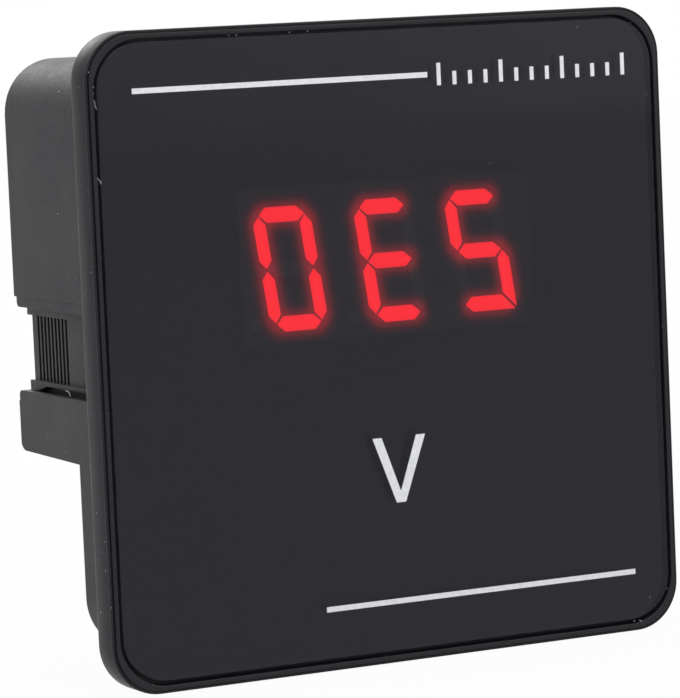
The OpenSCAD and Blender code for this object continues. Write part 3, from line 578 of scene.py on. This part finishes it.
def corner_loop(half_w, half_h, r, n=10):
    """A rounded rectangle as (x, z) points in mm, anticlockwise as the reader sees it."""
    out = []
    for cx, cz, start in ((1, 1, 0), (-1, 1, 90), (-1, -1, 180), (1, -1, 270)):
        for i in range(n + 1):
            a = math.radians(start + 90 * i / n)
            out.append((cx * (half_w - r) + r * math.cos(a), cz * (half_h - r) + r * math.sin(a)))
    return out


def mask_sheet():
    """The black sheet behind the face plate, clear of the plate by a hair, with the display's window."""
    lo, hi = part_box("plate_adhesive")
    front, back = lo.y / MM + 0.02, hi.y / MM
    steps = 10
    outer = corner_loop(hi.x / MM, hi.z / MM, 4.75, steps)
    inner = [(DISPLAY[0] + sx * WINDOW[0] / 2, DISPLAY[1] + sz * WINDOW[1] / 2)
             for sx, sz in ((1, 1), (-1, 1), (-1, -1), (1, -1))]
    n = len(outer)
    verts = [Vector((x, y, z)) * MM for y in (front, back) for x, z in outer + inner]
    faces = []
    for i in range(n):
        j, here, there = (i + 1) % n, n + i // (steps + 1), n + (i + 1) % n // (steps + 1)
        ring = [i, j, there, here] if here != there else [i, j, here]
        faces += [ring, [v + n + 4 for v in reversed(ring)], [i + n + 4, j + n + 4, j, i]]
    for i in range(4):
        a, b = n + i, n + (i + 1) % 4
        faces.append([a, b, b + n + 4, a + n + 4])
    obj = piece("mask_sheet", verts, faces, "adhesive")
    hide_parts("plate_adhesive")


mask_sheet()

# ------------------------------------------------------------------ dust and lint

m = Mat("dust", (0.46, 0.46, 0.48), 0.85, spec=0.2)
m.colour(m.blend(m.noise(0.08 * MM), (0.34, 0.34, 0.36), (0.58, 0.58, 0.60)))
m.bump(m.noise(0.05 * MM), 0.02 * MM, 0.8)
mats["dust"] = m
rng = random.Random(7)


def crumb(verts, faces, at, size, out):
    """A small crushed octahedron of dust, lying on a surface that faces out."""
    out = Vector(out)
    side = out.cross(Vector((0, 0, 1))).normalized()
    up = side.cross(out)
    start = len(verts)
    for d, k in ((side, 1), (up, 1), (side, -1), (up, -1)):
        verts.append(Vector(at) + d * (k * size * rng.uniform(0.35, 0.6)) + out * size * rng.uniform(0.05, 0.15))
    verts.append(Vector(at) + out * size * rng.uniform(0.25, 0.4))
    verts.append(Vector(at))
    for i in range(4):
        a, b = start + i, start + (i + 1) % 4
        faces += [[a, b, start + 4], [b, a, start + 5]]


FRONT, SIDE = (0, -1, 0), (-1, 0, 0)
RIM_Y, GROOVE_Y = -3.74, -3.55
crumbs = [((x, y, z), size, FRONT) for x, y, z, size in (
    (-35.5, RIM_Y, 31.8, 0.18), (-34.95, GROOVE_Y, 30.2, 0.2), (-34.95, GROOVE_Y, 29.5, 0.14),
    (-35.1, GROOVE_Y, -15.4, 0.18), (-35.5, RIM_Y, -21.7, 0.2), (-35.1, GROOVE_Y, -26.9, 0.18),
    (-35.95, RIM_Y, -25.9, 0.14), (-31.4, RIM_Y, -34.95, 0.32), (-31.8, RIM_Y, -34.85, 0.22),
    (-33.0, RIM_Y, -34.1, 0.16), (33.8, GROOVE_Y, 33.4, 0.26), (32.6, GROOVE_Y, 34.1, 0.18),
    (34.9, GROOVE_Y, 29.2, 0.15), (34.7, GROOVE_Y, -31.6, 0.2), (33.6, GROOVE_Y, -33.6, 0.24),
    (30.1, GROOVE_Y, -34.9, 0.24), (-18.6, GROOVE_Y, 34.95, 0.18), (-17.7, GROOVE_Y, 34.95, 0.24),
    (-11.2, GROOVE_Y, 34.95, 0.26), (-9.0, GROOVE_Y, 34.98, 0.26),
    (-34.1, -3.95, -26.6, 0.1), (32.1, -3.95, -32.3, 0.13), (25.2, -3.95, 33.9, 0.12),
    (34.1, -3.95, 25.8, 0.13), (13.1, -3.95, 19.2, 0.09), (3.8, -3.95, 2.8, 0.09))]
crumbs += [((x, y, z), size, SIDE) for x, y, z, size in (
    (-36.0, -3.0, 11.0, 0.13), (-36.0, -1.2, 8.1, 0.13), (-33.0, 12.1, 16.0, 0.22), (-33.0, 6.5, 22.4, 0.12),
    (-33.0, 18.0, -9.0, 0.14), (-33.0, 13.0, -10.6, 0.16), (-33.0, 9.0, -14.5, 0.13), (-33.0, 20.3, 14.0, 0.12),
    (-33.0, 8.0, 9.0, 0.13), (-33.0, 11.6, -12.2, 0.12), (-36.0, -2.2, -20.0, 0.12), (-36.0, -1.0, -5.0, 0.12))]
for i in range(26):
    edge = rng.choice((-1, 1))
    along, off = rng.uniform(-30, 30), rng.uniform(34.85, 35.1)
    at = (edge * off, GROOVE_Y, along) if rng.random() < 0.6 else (along, GROOVE_Y, edge * off)
    crumbs.append((at, rng.uniform(0.05, 0.11), FRONT))
dust_v, dust_f = [], []
for at, size, out in crumbs:
    crumb(dust_v, dust_f, at, size, out)
piece("dust_crumbs", [v * MM for v in dust_v], dust_f, "dust")


def fibre(name, points, r):
    """A hair of lint: a thin tube along a smooth line through the points, given in mm."""
    pts = [Vector(p) for p in points]
    line = []
    for i in range(len(pts) - 1):
        p0, p1, p2, p3 = pts[max(i - 1, 0)], pts[i], pts[i + 1], pts[min(i + 2, len(pts) - 1)]
        for s in range(6):
            t = s / 6
            line.append(0.5 * ((2 * p1) + (p2 - p0) * t + (2 * p0 - 5 * p1 + 4 * p2 - p3) * t * t
                               + (3 * p1 - p0 - 3 * p2 + p3) * t * t * t))
    line.append(pts[-1])
    verts, faces, around = [], [], 6
    for i, p in enumerate(line):
        d = (line[min(i + 1, len(line) - 1)] - line[max(i - 1, 0)]).normalized()
        a = d.cross(Vector((0.3, -1, 0.2))).normalized()
        b = d.cross(a)
        rr = r * (0.35 if i in (0, len(line) - 1) else 1)
        verts += [p + (a * math.cos(k * math.tau / around) + b * math.sin(k * math.tau / around)) * rr
                  for k in range(around)]
    for i in range(len(line) - 1):
        for k in range(around):
            j = (k + 1) % around
            faces.append([i * around + j, i * around + k, (i + 1) * around + k, (i + 1) * around + j])
    faces.append(list(range(around)))
    faces.append([len(verts) - 1 - k for k in range(around)])
    piece(name, [v * MM for v in verts], faces, "dust", smooth=True)


fibre("lint_left_a", [(-35.15, -3.85, 28.85), (-34.95, -3.8, 28.5), (-35.0, -3.88, 28.2), (-34.8, -3.9, 27.8)], 0.035)
fibre("lint_left_b", [(-35.1, -3.8, 20.5), (-34.95, -3.85, 20.25), (-34.75, -3.9, 20.05), (-34.8, -3.8, 19.8)], 0.04)
fibre("lint_right", [(30.6, -3.85, -34.8), (30.8, -3.9, -34.95), (31.05, -3.8, -35.0), (31.2, -3.88, -35.2)], 0.04)
fibre("lint_channel", [(-31.45, 16.1, -4.15), (-31.7, 14.8, -4.1), (-32.2, 13.2, -4.2), (-32.95, 11.3, -4.3)], 0.05)

# ------------------------------------------------------------------ floor

bottom = cad_lo.z - 0.02 * MM
size = 3.0
floor_mesh = bpy.data.meshes.new("floor")
steps = 24
fv, ff = [], []
for j in range(steps + 1):
    for i in range(steps + 1):
        fv.append(((i / steps - 0.5) * size, (j / steps - 0.5) * size, bottom))
for j in range(steps):
    for i in range(steps):
        a = j * (steps + 1) + i
        ff.append((a, a + 1, a + steps + 2, a + steps + 1))
floor_mesh.from_pydata(fv, [], ff)
floor = bpy.data.objects.new("floor", floor_mesh)
scene.collection.objects.link(floor)
m = Mat("floor_paper", (0.86, 0.86, 0.86), 0.9, spec=0.1)
emit = m.t.nodes.new("ShaderNodeEmission")
emit.inputs["Strength"].default_value = 1.0
path = m.t.nodes.new("ShaderNodeLightPath")
both = m.math("ADD", path.outputs["Is Camera Ray"], path.outputs["Is Glossy Ray"])
both = m.math("ADD", both, path.outputs["Is Transmission Ray"], clamp=True)
seen = m.math("MULTIPLY", both, 0.955)
mix = m.t.nodes.new("ShaderNodeMixShader")
m.link(seen, mix.inputs[0])
m.link(m.p.outputs[0], mix.inputs[1])
m.link(emit.outputs[0], mix.inputs[2])
m.link(mix.outputs[0], m.out.inputs["Surface"])
floor_mesh.materials.append(m.m)
